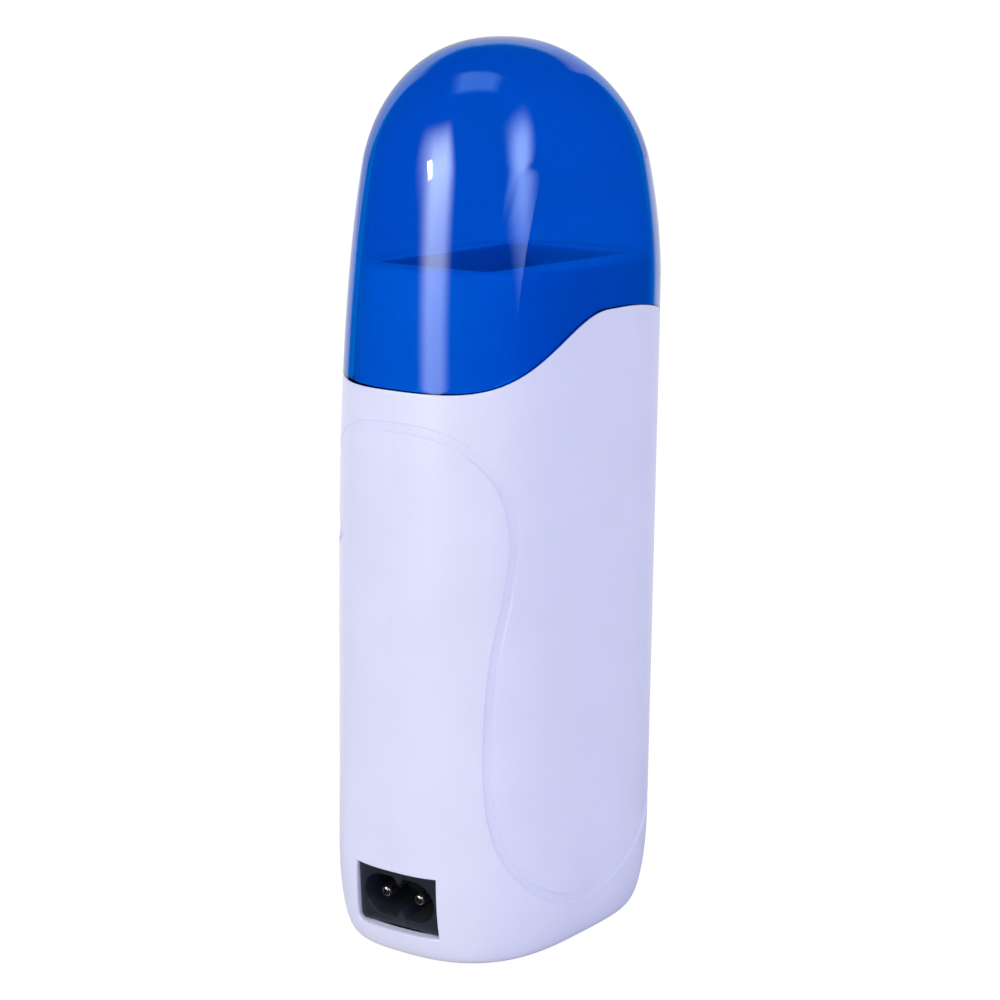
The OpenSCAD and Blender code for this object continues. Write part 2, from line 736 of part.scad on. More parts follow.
// A stadium with a small notch in the middle of each long side
module socket_outline() {
    difference() {
        union() {
            square([socket_h, socket_w - socket_h], center = true);
            for (y = [-1, 1]) translate([0, y * (socket_w - socket_h) / 2])
                circle(socket_h / 2);
        }
        for (x = [-1, 1]) polygon([[x * (socket_h / 2 - notch_d), 0],
            [x * (socket_h / 2 + past), -notch_w / 2 * (1 + past / notch_d)],
            [x * (socket_h / 2 + past), notch_w / 2 * (1 + past / notch_d)]]);
    }
}
module inlet_body() {
    color([0.12, 0.12, 0.16]) on_inlet() difference() {
        union() {
            translate([0, 0, -inlet_l]) linear_extrude(inlet_l) inlet_outline(0);
            translate([-inlet_h / 2 + 0.5, -inlet_w / 2 - lug_reach, -lug_front - lug_t])
                cube([inlet_h - 1, inlet_w + 2 * lug_reach, lug_t]);
        }
        translate([0, 0, -socket_l]) linear_extrude(socket_l + past) socket_outline();
        for (y = [-1, 1]) translate([0, y * pin_pitch / 2, -inlet_l - past])
            cylinder(r = shank_r + thread_fit, h = inlet_l);
    }
}
module inlet_pins() {
    color("silver") on_inlet() for (y = [-1, 1]) translate([0, y * pin_pitch / 2, 0])
        rotate_extrude() polygon([[0, -inlet_l], [shank_r, -inlet_l],
            [shank_r, -socket_l], [pin_r, -socket_l], [pin_r, -pin_sunk - tip_l],
            [pin_r * 0.55, -pin_sunk], [0, -pin_sunk]]);
}
tag_w = 3;
tag_t = 0.8;
tag_l = 5;
module inlet_terminals() {
    color("goldenrod") on_inlet() for (y = [-1, 1]) translate([-tag_w / 2,
        y * pin_pitch / 2 - tag_t / 2, -inlet_l - tag_l]) cube([tag_w, tag_t, tag_l]);
}

// ---- Leads ----

// End of a terminal tag in the model's own frame
tag_reach = inlet_l + tag_l;
tag_end = [inlet_x + tag_reach * cos(inlet_tilt), pin_pitch / 2,
    inlet_z + tag_reach * sin(inlet_tilt)];
tag_way = [cos(inlet_tilt), 0, sin(inlet_tilt)];
front_side = [1, -1, 1];
under = cup_foot - 4;

// From the front terminal to the lower end of the fuse
module live_lead() {
    a = [tag_end[0], -tag_end[1], tag_end[2]];
    b = [fuse_x, fuse_y, fuse_foot - sleeve_over];
    color("saddlebrown") tube(smooth([a, a + 2 * tag_way, [-7, -3, inlet_z + 9.5], [-9, 6, under - 4],
        [b[0], b[1] + 0.6, cup_foot + 2], [b[0], b[1], b[2] - 8], b], 4), lead_r);
}
// From the upper end of the fuse to the top of the thermostat
module link_lead() {
    top = fuse_foot + fuse_l + sleeve_over;
    stat_top = stat_foot + stat_h;
    y = cup_d / 2 + stat_t / 2;
    color("white") tube(smooth([[fuse_x, fuse_y, top], [fuse_x, fuse_y, top + 4],
        [fuse_x / 2, y, top + 8], [0, y, top + 4], [0, y, stat_top]], 4), lead_r);
}
// From the bottom of the thermostat, under the cup, to the inner electrode
module heater_lead() {
    y = cup_d / 2 + stat_t / 2;
    e = cup_d / 2 + lead_r + 0.1;
    color("white") tube(smooth([[0, y, stat_foot], [0, y, stat_foot - 6],
        [0.5, y, cup_foot + 2], [-2, 8, under], [-5, -9, under],
        [-tab_x, -e - 0.3, cup_foot], [-tab_x, -e, cup_foot + 5],
        [-tab_x, -e, heater_foot - tab_h]], 4), lead_r);
}
// From the rear terminal to the outer electrode
module neutral_lead() {
    e = outer_y + electrode_t / 2;
    color("blue") tube(smooth([tag_end, tag_end + 2 * tag_way, [-5, 3, inlet_z + 7.5],
        [4, -6, under - 6], [tab_x, -e - 0.3, cup_foot - 1], [tab_x, -e, cup_foot + 5],
        [tab_x, -e, heater_foot - tab_h]], 4), lead_r);
}

front_shell();
rear_shell();
cap();
neck_collar();
heater_cup();
ptc_tiles();
inner_electrode();
outer_electrode();
insulation_film();
clamp_plate();
thermostat();
thermal_fuse();
fuse_sleeve();
sensor_strap();
heater_screws();
collar_screws();
shell_screws();
inlet_body();
inlet_pins();
inlet_terminals();
live_lead();
link_lead();
heater_lead();
neutral_lead();
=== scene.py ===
from math import cos, pi, radians, sin, tan

import bmesh
import bpy
import numpy as np
from mathutils import Matrix, Vector


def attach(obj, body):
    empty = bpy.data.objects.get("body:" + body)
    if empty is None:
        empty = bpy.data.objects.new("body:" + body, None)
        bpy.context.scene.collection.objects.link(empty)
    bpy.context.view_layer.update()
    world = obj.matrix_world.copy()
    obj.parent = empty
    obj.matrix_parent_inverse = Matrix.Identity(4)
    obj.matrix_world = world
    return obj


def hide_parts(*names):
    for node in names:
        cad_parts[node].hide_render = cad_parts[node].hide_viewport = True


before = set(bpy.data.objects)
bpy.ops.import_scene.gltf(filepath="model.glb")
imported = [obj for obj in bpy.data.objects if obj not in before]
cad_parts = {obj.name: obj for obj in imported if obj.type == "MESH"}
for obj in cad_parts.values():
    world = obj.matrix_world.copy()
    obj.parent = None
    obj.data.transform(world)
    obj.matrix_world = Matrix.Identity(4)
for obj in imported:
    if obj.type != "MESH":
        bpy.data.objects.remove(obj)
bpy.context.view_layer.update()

# ---- Half shells ----
# Two injection-moulded white half shells that meet on the plane y = 0, drawn in at
# the foot and closed towards the crown by the cap, which continues the same curve.
# A shallow flat-bottomed groove runs round them under the S-shaped shoulder.

HEIGHT = 187.5    # whole heater with its cap on, in millimetres
TUCK_H = 21       # the foot is drawn in below this height
WALL = 2


def clamp01(t):
    return np.clip(t, 0, 1)


def dome(z, start, top, power):
    """Share of the full size that is left at height z."""
    return np.maximum(0, 1 - clamp01((z - start) / (top - start)) ** power) ** (1 / power)


def half_size(z, low, high, drawn):
    """Half of a width or depth at height z, below the dome."""
    foot = 1 - (1 - clamp01((TUCK_H - z) / TUCK_H) ** 2.1) ** (1 / 2.1)
    taper = np.maximum(0, (z - TUCK_H) / (140 - TUCK_H))
    return (low + (high - low) * taper) / 2 - drawn * foot


def half_width(z, x, inset):
    """Half width on the inlet's side (x below 0) or on the far side."""
    top = HEIGHT - inset
    lean = np.where(x < 0, dome(z, 72, top, 2.6), dome(z, 137, top, 1.7))
    return (half_size(np.minimum(z, top), 74, 76, 5) - inset) * lean


def half_depth(z, inset):
    top = HEIGHT - inset
    return (half_size(np.minimum(z, top), 51, 50, 3) - inset) * dome(z, 163, top, 2.2)


def end_fullness(z):
    return 3.2 - 0.9 * clamp01((z - 163) / (HEIGHT - 163))


def face_fullness(z):
    return 2.6 - 0.3 * clamp01((z - 163) / (HEIGHT - 163))


def skin(angle, z, inset=0.0):
    """Points of the housing's outline, drawn in by inset, at plan angles and heights."""
    c, s = np.cos(angle), np.sin(angle)
    x = half_width(z, c, inset) * np.sign(c) * np.abs(c) ** (2 / end_fullness(z))
    y = half_depth(z, inset) * np.sign(s) * np.abs(s) ** (2 / face_fullness(z))
    return np.stack([x, y, z + 0 * x], -1)


def skin_y(x, z, inset=0.0):
    """Half depth of the outline at a place across its width."""
    share = np.abs(x) / half_width(z, x, inset)
    return half_depth(z, inset) * np.maximum(0, 1 - share ** end_fullness(z)) ** (
        1 / face_fullness(z))


def above_skin(p):
    """Height of points above the outline, and the outline's way outwards there."""
    def fill(q):
        x, y, z = q[:, 0], q[:, 1], q[:, 2]
        return ((np.abs(x) / half_width(z, x, 0)) ** end_fullness(z)
                + (np.abs(y) / half_depth(z, 0)) ** face_fullness(z) - 1)
    step = 0.002
    slope = np.stack([(fill(p + step * e) - fill(p - step * e)) / (2 * step)
                      for e in np.eye(3)], -1)
    steep = np.linalg.norm(slope, axis=1, keepdims=True)
    return fill(p) / steep[:, 0], slope / steep


def shoulder(x):
    """Height of the S-shaped shoulder that the cap's rim follows."""
    rise = clamp01((x + 37) / 39)
    fall = clamp01((x - 7) / 31)
    return 118.8 + 14.7 * (1 - np.cos(pi * rise)) / 2 - 6 * fall ** 2


def shoulder_at(angle):
    return shoulder(skin(angle, 126.15)[..., 0])


def even_angles(start, stop, count):
    """Plan angles that divide the outline into equal steps."""
    fine = np.radians(np.linspace(start, stop, 20001))
    way = np.linalg.norm(np.diff(skin(fine, 80.0), axis=0), axis=1)
    run = np.concatenate([[0], np.cumsum(way)])
    return np.interp(np.linspace(0, run[-1], count + 1), run, fine)


def bands(first, rows, across, closed=False):
    """Four-sided faces between rows of points that lie one after another."""
    span = across if closed else across - 1
    return [(first + r * across + i, first + r * across + (i + 1) % across,
             first + (r + 1) * across + (i + 1) % across, first + (r + 1) * across + i)
            for r in range(rows - 1) for i in range(span)]


def moulded(name, points, faces, crease=30):
    """A closed piece from points in millimetres, smooth up to the crease angle."""
    mesh = bpy.data.meshes.new(name)
    mesh.from_pydata((np.asarray(points) / 1000).tolist(), [], faces)
    shape = bmesh.new()
    shape.from_mesh(mesh)
    bmesh.ops.recalc_face_normals(shape, faces=shape.faces)
    shape.to_mesh(mesh)
    shape.free()
    mesh.shade_smooth()
    mesh.set_sharp_from_angle(angle=radians(crease))
    piece = bpy.data.objects.new(name, mesh)
    bpy.context.scene.collection.objects.link(piece)
    return piece


def worked(piece, tool, way):
    """The piece after a tool shape is cut from it or joined to it."""
    step = piece.modifiers.new("work", "BOOLEAN")
    step.operation, step.solver, step.object = way, "EXACT", tool
    bpy.context.view_layer.update()
    seen = piece.evaluated_get(bpy.context.evaluated_depsgraph_get())
    shape = bpy.data.meshes.new_from_object(seen)
    piece.modifiers.clear()
    piece.data = shape
    bpy.data.objects.remove(tool)


def without_slivers(piece):
    """Merges the corners that cuts leave within a few microns of each other."""
    shape = bmesh.new()
    shape.from_mesh(piece.data)
    bmesh.ops.remove_doubles(shape, verts=shape.verts, dist=4e-6)
    bmesh.ops.dissolve_degenerate(shape, edges=shape.edges, dist=1e-6)
    shape.to_mesh(piece.data)
    shape.free()


def half_bowl(name, side):
    """One half of the housing, in front (side 1) or behind (side -1): outer rows from
    the foot up to the rim, then inner rows down to the floor."""
    seam = 0.06    # the parting line is a hairline this deep and wide
    edge, chamfer, floor = 0.06, 0.2, 2.5    # the rim's two edges, and the floor inside
    angles = even_angles(180, 360, 130)
    angles = np.concatenate([angles[:1], angles[:1], angles[1:-1], angles[-1:], angles[-1:]])
    rim = shoulder_at(angles)
    foot = TUCK_H * (1 - np.sin(np.linspace(pi / 2, 0, 21)) ** (2 / 2.1))
    rows = [(z + 0 * rim, 0) for z in foot]
    rows += [(TUCK_H + (rim - edge - TUCK_H) * t, 0) for t in np.linspace(0, 1, 105)[1:]]
    rows += [(rim - edge + edge * sin(a), edge - edge * cos(a)) for a in (pi / 4, pi / 2)]
    outer = len(rows)
    rows += [(rim + 0, WALL - chamfer), (rim - chamfer, WALL)]
    rows += [(floor + (rim - chamfer - floor) * t, WALL) for t in np.linspace(1, 0, 26)[1:]]
    points = []
    for number, (z, inset) in enumerate(rows):
        turn = angles.copy()
        close = np.arcsin((seam / half_depth(z, inset)) ** (face_fullness(z) / 2))
        turn[1] += close[1]
        turn[-2] -= close[-2]
        ring = skin(turn, z, inset)
        ring[[0, -1], 1] = 0
        if number < outer:
            ring[0, 0] += seam
            ring[-1, 0] -= seam
        points.append(ring * (1, side, 1))
    across = len(angles)
    faces = bands(0, len(rows), across)
    faces.append(tuple(range(across)))
    faces.append(tuple((len(rows) - 1) * across + i for i in range(across)))
    left = [r * across for r in range(len(rows))]
    faces.append(tuple(left + [r + across - 1 for r in reversed(left)]))
    return moulded(name, np.concatenate(points), faces)


# The groove's middle line on a broad face: across the width, and up from its foot
GROOVE = [(-1.05, 1), (-1, 0.992), (-0.89, 0.95), (-0.76, 0.875), (-0.7, 0.775),
          (-0.73, 0.67), (-0.795, 0.535), (-0.82, 0.37), (-0.795, 0.21), (-0.7, 0.115),
          (-0.51, 0.047), (-0.27, 0.008), (0, 0), (0.27, 0.025), (0.54, 0.074),
          (0.78, 0.138), (0.96, 0.196), (1.05, 0.215)]
GROOVE_DEEP = 0.4


def flowing(line, steps):
    """A smooth curve through given points, straight in its first and last step."""
    p = np.array(line, float)
    out = [p[0]]
    for a, b, c, d in zip(p[:-3], p[1:-2], p[2:-1], p[3:]):
        for t in np.arange(steps) / steps:
            out.append((2 * b + (c - a) * t + (2 * a - 5 * b + 4 * c - d) * t ** 2
                        + (3 * b - a - 3 * c + d) * t ** 3) / 2)
    return np.array(out + [p[-2], p[-1]])


def groove_way():
    """The groove's closed middle line, round both halves, in even steps."""
    line = flowing([(37 * x, 10.2 + 102.4 * z) for x, z in GROOVE], 24)
    ends = []
    for side in (-1, 1):
        part = line[:60] if side < 0 else line[-60:]
        order = np.argsort(part[:, 0])
        y = np.linspace(0, 14, 57)
        x = side * 37 + 0 * y
        for _ in range(6):
            z = np.interp(x, part[order, 0], part[order, 1])
            x = side * half_width(z, x, 0) * (
                1 - (y / half_depth(z, 0)) ** face_fullness(z)) ** (1 / end_fullness(z))
        ends.append(np.stack([x, -y, z], -1))
    inner = line[(line[:, 0] > ends[0][-1, 0] + 0.3) & (line[:, 0] < ends[1][-1, 0] - 0.3)]
    face = np.stack([inner[:, 0], -skin_y(inner[:, 0], inner[:, 1]), inner[:, 1]], -1)
    front = np.concatenate([ends[0], face, ends[1][::-1]])
    loop = np.concatenate([front, (front * (1, -1, 1))[-2:0:-1], front[:1]])
    run = np.concatenate([[0], np.cumsum(np.linalg.norm(np.diff(loop, axis=0), axis=1))])
    even = np.linspace(0, run[-1], int(run[-1] / 0.7) + 1)[:-1]
    return np.stack([np.interp(even, run, loop[:, k]) for k in range(3)], -1)


def groove_cutter():
    """The cutter that follows that line: flat below, its sides leaning outwards."""
    middle = groove_way()
    along = np.roll(middle, -1, axis=0) - np.roll(middle, 1, axis=0)
    along /= np.linalg.norm(along, axis=1, keepdims=True)
    beside = np.cross(along, above_skin(middle)[1])
    beside /= np.linalg.norm(beside, axis=1, keepdims=True)
    rows = []
    for across, up in ((-0.83, -GROOVE_DEEP), (-0.3, -GROOVE_DEEP), (0.3, -GROOVE_DEEP),
                       (0.83, -GROOVE_DEEP), (1.58, 0.6), (-1.58, 0.6)):
        p = middle + across * beside
        for _ in range(3):
            height, outwards = above_skin(p)
            p = p - height[:, None] * outwards
        rows.append(p + up * above_skin(p)[1])
    count = len(middle)
    faces = bands(0, 6, count, closed=True)
    faces += [(5 * count + i, 5 * count + (i + 1) % count, (i + 1) % count, i)
              for i in range(count)]
    return moulded("cutter", np.concatenate(rows), faces)


# The screws: place across the width, height, seat of the head behind the seam, and
# half of what is clamped between the bosses
SCREWS = [(-20, 30, 12, 0), (20, 30, 12, 0), (-31, 88, 9, 1), (31, 88, 9, 1)]
BOSS_R, HEAD_R = 4, 2.9
THREAD_R, THREAD_DEEP = 1.42, 8.5    # the front bosses take the thread
CLEAR_R, THROUGH = 1.6, 30    # the rear ones let it pass, right through the wall


def round_bar(x, z, radius, start, end):
    """A bar along y, its far end following the wall where end is None."""
    turn = np.linspace(0, 2 * pi, 49)[:-1]
    px, pz = x + radius * np.cos(turn), z + radius * np.sin(turn)
    far = skin_y(px, pz, 0.8) if end is None else end + 0 * px
    points = [np.stack([px, start + 0 * px, pz], -1), np.stack([px, far, pz], -1)]
    faces = bands(0, 2, 48, closed=True) + [tuple(range(48)), tuple(range(48, 96))]
    return np.concatenate(points), faces


# The inlet's face: its frame, its size and its one round corner (low, at the rear)
FACE_AT = Vector((-34.329, 0, 12.5))
FACE_LEAN = radians(8)
FACE_H, FACE_W, FACE_CORNER = 12.7, 19.5, 1.2
FACE_GAP, FACE_LIP = 0.15, 0.6    # clearance round it, and the rounding of the shells' edge


def on_face(points):
    """Points given up the inlet's face, along y and outwards, in the heater's frame."""
    up = Vector((-sin(FACE_LEAN), 0, cos(FACE_LEAN)))
    out = Vector((-cos(FACE_LEAN), 0, -sin(FACE_LEAN)))
    way = np.array([up, (0, 1, 0), out])
    return np.asarray(points, float) @ way + np.array(FACE_AT)


def face_outline(grow, flare=1):
    """The face's outline; flare spreads it from the block's size to that of its front."""
    h, w, r = FACE_H / 2 + grow, FACE_W / 2 + grow, FACE_CORNER
    corner = [(r - h - r * sin(a) - 0.35 * flare, w - r + r * cos(a) + 0.75 * flare)
              for a in np.linspace(0, pi / 2, 9)]
    return np.array([(h + 0.1 * flare, -w - 0.3 * flare), (h + 0.1 * flare, w + 0.15 * flare)]
                    + corner + [(-h - 0.15 * flare, -w - 0.3 * flare)])


def face_ring(grow):
    """The grown outline in short steps, and how far outwards the skin lies over it."""
    outline = face_outline(grow)
    flat = np.concatenate([
        p + (q - p) * np.linspace(0, 1, steps + 1)[:-1, None]
        for p, q, steps in zip(outline, np.roll(outline, -1, axis=0),
                               [30] + [12] + [1] * 8 + [28, 20])])
    level = np.zeros(len(flat))
    for _ in range(40):
        level -= above_skin(on_face(np.column_stack([flat, level])))[0]
    return flat, level


def face_cutter():
    """Opens both shells for the inlet and rounds their edge where it meets the skin."""
    flat, level = face_ring(FACE_GAP)
    rows = [np.column_stack([flat, 0 * level - 2.5])]
    for a in [radians(d) for d in (90, 78, 66, 54, 42, 30, 20, 12)]:
        flat, level = face_ring(FACE_GAP + FACE_LIP * (1 - sin(a)))
        rows.append(np.column_stack([flat, level + FACE_LIP * (cos(a) - 1)]))
    flat, level = face_ring(FACE_GAP + FACE_LIP * (1 - sin(radians(10))))
    rows.append(np.column_stack([flat, level + 3]))
    count = len(rows[0])
    faces = bands(0, len(rows), count, closed=True)
    faces += [tuple(range(count)), tuple(range((len(rows) - 1) * count, len(rows) * count))]
    return moulded("cutter", on_face(np.concatenate(rows)), faces)


def follow_skin(piece):
    """Shades the outside by the true curve, so that cuts leave no ripples in it."""
    mesh = piece.data
    mesh.shade_smooth()
    mesh.set_sharp_from_angle(angle=radians(25))
    at = np.empty(3 * len(mesh.vertices))
    mesh.vertices.foreach_get("co", at)
    at = at.reshape(-1, 3) * 1000
    height, outwards = above_skin(at)
    close = (np.abs(height) < 0.06) | (np.abs(height + GROOVE_DEEP) < 0.06)
    close &= at[:, 2] < shoulder(at[:, 0]) - 0.25
    normals = np.zeros((len(mesh.loops), 3))
    for face in mesh.polygons:
        corners = list(face.vertices)
        if close[corners].all() and face.normal.dot(Vector(outwards[corners[0]])) > 0.9:
            normals[list(face.loop_indices)] = outwards[corners]
    mesh.normals_split_custom_set(normals.tolist())


def moulded_plastic(name, colour, roughness, grain=0.35, depth=0.02):
    """Moulded plastic: a fine spark-eroded grain, a few mm of unevenness in its gloss."""
    made = bpy.data.materials.new(name)
    made.use_nodes = True
    nodes, links = made.node_tree.nodes, made.node_tree.links
    shader = nodes["Principled BSDF"]
    shader.inputs["IOR"].default_value = 1.5
    where = nodes.new("ShaderNodeTexCoord").outputs["Object"]

    def noise(scale, detail):
        cloud = nodes.new("ShaderNodeTexNoise")
        cloud.inputs["Scale"].default_value = scale
        cloud.inputs["Detail"].default_value = detail
        links.new(where, cloud.inputs["Vector"])
        return cloud.outputs["Fac"]

    def spread(value, low, high):
        span = nodes.new("ShaderNodeMapRange")
        span.inputs["From Min"].default_value = 0.3
        span.inputs["From Max"].default_value = 0.7
        span.inputs["To Min"].default_value = low
        span.inputs["To Max"].default_value = high
        links.new(value, span.inputs["Value"])
        return span.outputs["Result"]

    broad, fine = noise(60, 2), noise(1000 / grain, 2)
    shade = nodes.new("ShaderNodeMix")
    shade.data_type = "RGBA"
    shade.inputs["A"].default_value = (*[0.985 * c for c in colour], 1)
    shade.inputs["B"].default_value = (*[min(1, 1.015 * c) for c in colour], 1)
    links.new(spread(broad, 0, 1), shade.inputs["Factor"])
    links.new(shade.outputs["Result"], shader.inputs["Base Color"])
    gloss = nodes.new("ShaderNodeMath")
    gloss.operation = "ADD"
    links.new(spread(broad, roughness - 0.03, roughness + 0.03), gloss.inputs[0])
    links.new(spread(fine, -0.02, 0.02), gloss.inputs[1])
    links.new(gloss.outputs["Value"], shader.inputs["Roughness"])
    bump = nodes.new("ShaderNodeBump")
    bump.inputs["Strength"].default_value = 0.25
    bump.inputs["Distance"].default_value = depth / 1000
    links.new(fine, bump.inputs["Height"])
    links.new(bump.outputs["Normal"], shader.inputs["Normal"])
    return made


housing_plastic = moulded_plastic("housing_plastic", (0.80, 0.768, 0.965), 0.42)

for name, node, side in (("shell_front", "front_shell", 1), ("shell_rear", "rear_shell", -1)):
    shell = half_bowl(name, side)
    for x, z, seat, half_gap in SCREWS:
        points, faces = round_bar(x, z, BOSS_R, half_gap, None)
        worked(shell, moulded("boss", points * (1, -side, 1), faces), "UNION")
        bore, deep = (THREAD_R, THREAD_DEEP) if side > 0 else (CLEAR_R, THROUGH)
        points, faces = round_bar(x, z, bore, -1, deep)
        worked(shell, moulded("bore", points * (1, -side, 1), faces), "DIFFERENCE")
        if side < 0:
            points, faces = round_bar(x, z, HEAD_R, seat, THROUGH)
            worked(shell, moulded("bore", points, faces), "DIFFERENCE")
    worked(shell, groove_cutter(), "DIFFERENCE")
    worked(shell, face_cutter(), "DIFFERENCE")
    without_slivers(shell)
    follow_skin(shell)
    shell.data.materials.clear()
    shell.data.materials.append(housing_plastic)
    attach(shell, "heater")
    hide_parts(node)

# ---- Mains inlet ----
# A two-pin figure-of-eight inlet of black glass-filled plastic, moulded as one block
# and held by the two shells. Two nickel-plated brass pins are pressed into it.

SOCKET_DEEP = 11.5


def socket_outline(grow):
    """A stadium with a tooth in the middle of each long side."""
    r, y = 4.55 + grow, 4.3
    bow = [(r * sin(a), y + r * cos(a)) for a in np.linspace(pi / 2, -pi / 2, 33)]
    right = [(2.7 + grow, 0), (4.55 + grow, 1.3)] + bow + [(-4.55 - grow, 1.3)]
    left = [(-2.7 - grow, 0)] + [(-x, -y) for x, y in right[1:]]
    return np.array(right + left)


def reach(outline, turn):
    """How far an outline lies from its middle in each direction."""
    ray = np.stack([np.cos(turn), np.sin(turn)], -1)
    far = np.zeros(len(turn))
    for a, b in zip(outline, np.roll(outline, -1, axis=0)):
        edge = b - a
        cross = ray[:, 0] * edge[1] - ray[:, 1] * edge[0]
        cross = np.where(np.abs(cross) < 1e-12, 1e-12, cross)
        away = (a[0] * edge[1] - a[1] * edge[0]) / cross
        along = (a[0] * ray[:, 1] - a[1] * ray[:, 0]) / cross
        hit = (along > -1e-6) & (along < 1 + 1e-6) & (away > 0)
        far = np.where(hit, np.maximum(far, away), far)
    return far[:, None] * ray


corners = np.concatenate([face_outline(0), face_outline(0, 0), socket_outline(0)])
turn = np.unique(np.round(np.concatenate([
    np.arctan2(corners[:, 1], corners[:, 0]), np.linspace(-pi, pi, 97)[1:]]), 5))
rows = [(face_outline(0, 0), -15), (face_outline(0, 0), -3.2), (face_outline(0), -2.6),
        (face_outline(0), -0.35), (face_outline(-0.1), -0.1),
        (face_outline(-0.35), 0), (socket_outline(0.3), 0), (socket_outline(0.08), -0.08),
        (socket_outline(0), -0.3), (socket_outline(0), -SOCKET_DEEP)]
count = len(turn)
points = np.concatenate([np.column_stack([reach(outline, turn), level + 0 * turn])
                         for outline, level in rows] + [[(0, 0, -SOCKET_DEEP)], [(0, 0, -15)]])
faces = bands(0, len(rows), count, closed=True)
middle = len(rows) * count
faces += [(middle - count + i, middle - count + (i + 1) % count, middle) for i in range(count)]
faces += [(i, (i + 1) % count, middle + 1) for i in range(count)]
inlet = moulded("inlet_block", on_face(points), faces)
inlet.data.materials.append(moulded_plastic("inlet_plastic", (0.016, 0.018, 0.034), 0.42))
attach(inlet, "heater")
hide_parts("inlet_body")


def drawn_metal(name, colour, roughness, lines=(1, 1, 1), scale=400):
    """Bare or plated metal, with the faint drag lines left by how it was made."""
    made = bpy.data.materials.new(name)
    made.use_nodes = True
    nodes, links = made.node_tree.nodes, made.node_tree.links
    shader = nodes["Principled BSDF"]
    shader.inputs["Metallic"].default_value = 1
    where = nodes.new("ShaderNodeTexCoord")
    stretch = nodes.new("ShaderNodeMapping")
    stretch.inputs["Scale"].default_value = lines
    links.new(where.outputs["Object"], stretch.inputs["Vector"])
    streaks = nodes.new("ShaderNodeTexNoise")
    streaks.inputs["Scale"].default_value = scale
    streaks.inputs["Detail"].default_value = 4
    links.new(stretch.outputs["Vector"], streaks.inputs["Vector"])
    for socket, low, high in (("Roughness", roughness - 0.08, roughness + 0.08),):
        span = nodes.new("ShaderNodeMapRange")
        span.inputs["To Min"].default_value = low
        span.inputs["To Max"].default_value = high
        links.new(streaks.outputs["Fac"], span.inputs["Value"])
        links.new(span.outputs["Result"], shader.inputs[socket])
    shade = nodes.new("ShaderNodeMix")
    shade.data_type = "RGBA"
    shade.inputs["A"].default_value = (*[0.88 * c for c in colour], 1)
    shade.inputs["B"].default_value = (*colour, 1)
    links.new(streaks.outputs["Fac"], shade.inputs["Factor"])
    links.new(shade.outputs["Result"], shader.inputs["Base Color"])
    bump = nodes.new("ShaderNodeBump")
    bump.inputs["Strength"].default_value = 0.2
    bump.inputs["Distance"].default_value = 0.00002
    links.new(streaks.outputs["Fac"], bump.inputs["Height"])
    links.new(bump.outputs["Normal"], shader.inputs["Normal"])
    return made


# The pins have rounded tips, and stop a little behind the face
profile = [(1.2, -14.5), (1.2, -1.75), (1.17, -1.45), (1.08, -1.2), (0.92, -1.02),
           (0.7, -0.92), (0.4, -0.9)]
turn = np.linspace(0, 2 * pi, 33)[:-1]
points, faces = [], []
for y in (-4.3, 4.3):
    first = len(points)
    for radius, level in profile:
        points += [(radius * cos(a), y + radius * sin(a), level) for a in turn]
    faces += bands(first, len(profile), 32, closed=True)
    faces += [tuple(range(first, first + 32)), tuple(range(len(points) - 32, len(points)))]
pins = moulded("inlet_pin_pair", on_face(points), faces, crease=50)
pins.data.materials.append(drawn_metal("pin_nickel", (0.72, 0.70, 0.66), 0.25, (1, 1, 8), 900))
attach(pins, "heater")
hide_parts("inlet_pins")

# ---- Neck ----
# A white ring moulded in heat-resistant plastic. It stands inside the shells, carries
# the cap, and its deck holds the guide through which a wax cartridge goes in.

NECK_IN, NECK_WALL = 2.3, 1.6
NECK_FOOT, NECK_TOP, GUIDE_FOOT = 105, 142.5, 112


def round_rectangle(width, depth, radius):
    out = []
    for k in range(4):
        sx, sy = (1, 1, -1, -1)[k], (-1, 1, 1, -1)[k]
        turn = np.linspace(k * pi / 2 - pi / 2, k * pi / 2, 9)
        out += [(sx * (width / 2 - radius) + radius * cos(a),
                 sy * (depth / 2 - radius) + radius * sin(a)) for a in turn]
    return np.array(out)


def ring_row(inset, z):
    turned = skin(neck_angles, z, inset)
    return turned


def guide_row(grow, z):
    flat = reach(round_rectangle(49 + 2 * grow, 27 + 2 * grow, 2.5 + grow), neck_turns)
    return np.column_stack([flat, z + 0 * neck_turns])


plan = skin(even_angles(-180, 180, 4000), NECK_TOP, NECK_IN)
plan_turn = np.unwrap(np.arctan2(plan[:, 1], plan[:, 0]))
opening = round_rectangle(49, 27, 2.5)
neck_turns = np.unique(np.round(np.concatenate([
    np.arctan2(opening[:, 1], opening[:, 0]), plan_turn[:-1:18]]), 5))
neck_angles = np.interp(neck_turns, plan_turn - 2 * pi * round(plan_turn.mean() / (2 * pi)),
                        even_angles(-180, 180, 4000))
rows = [ring_row(NECK_IN, z) for z in np.linspace(NECK_FOOT, NECK_TOP - 1, 30)]
rows += [ring_row(NECK_IN + 1 - cos(a), NECK_TOP - 1 + sin(a))
         for a in np.linspace(0, pi / 2, 7)[1:]]
rows += [guide_row(0.5 - 0.5 * sin(a), NECK_TOP - 0.5 + 0.5 * cos(a))
         for a in np.linspace(0, pi / 2, 5)]
rows += [guide_row(0, z) for z in np.linspace(NECK_TOP - 1.5, GUIDE_FOOT, 8)]
rows += [guide_row(1.6, z) for z in (GUIDE_FOOT, NECK_TOP - 1.6)]
rows += [ring_row(NECK_IN + NECK_WALL, z) for z in (NECK_TOP - 1.6, 130, 118, NECK_FOOT)]
count = len(neck_turns)
faces = bands(0, len(rows), count, closed=True)
last = (len(rows) - 1) * count
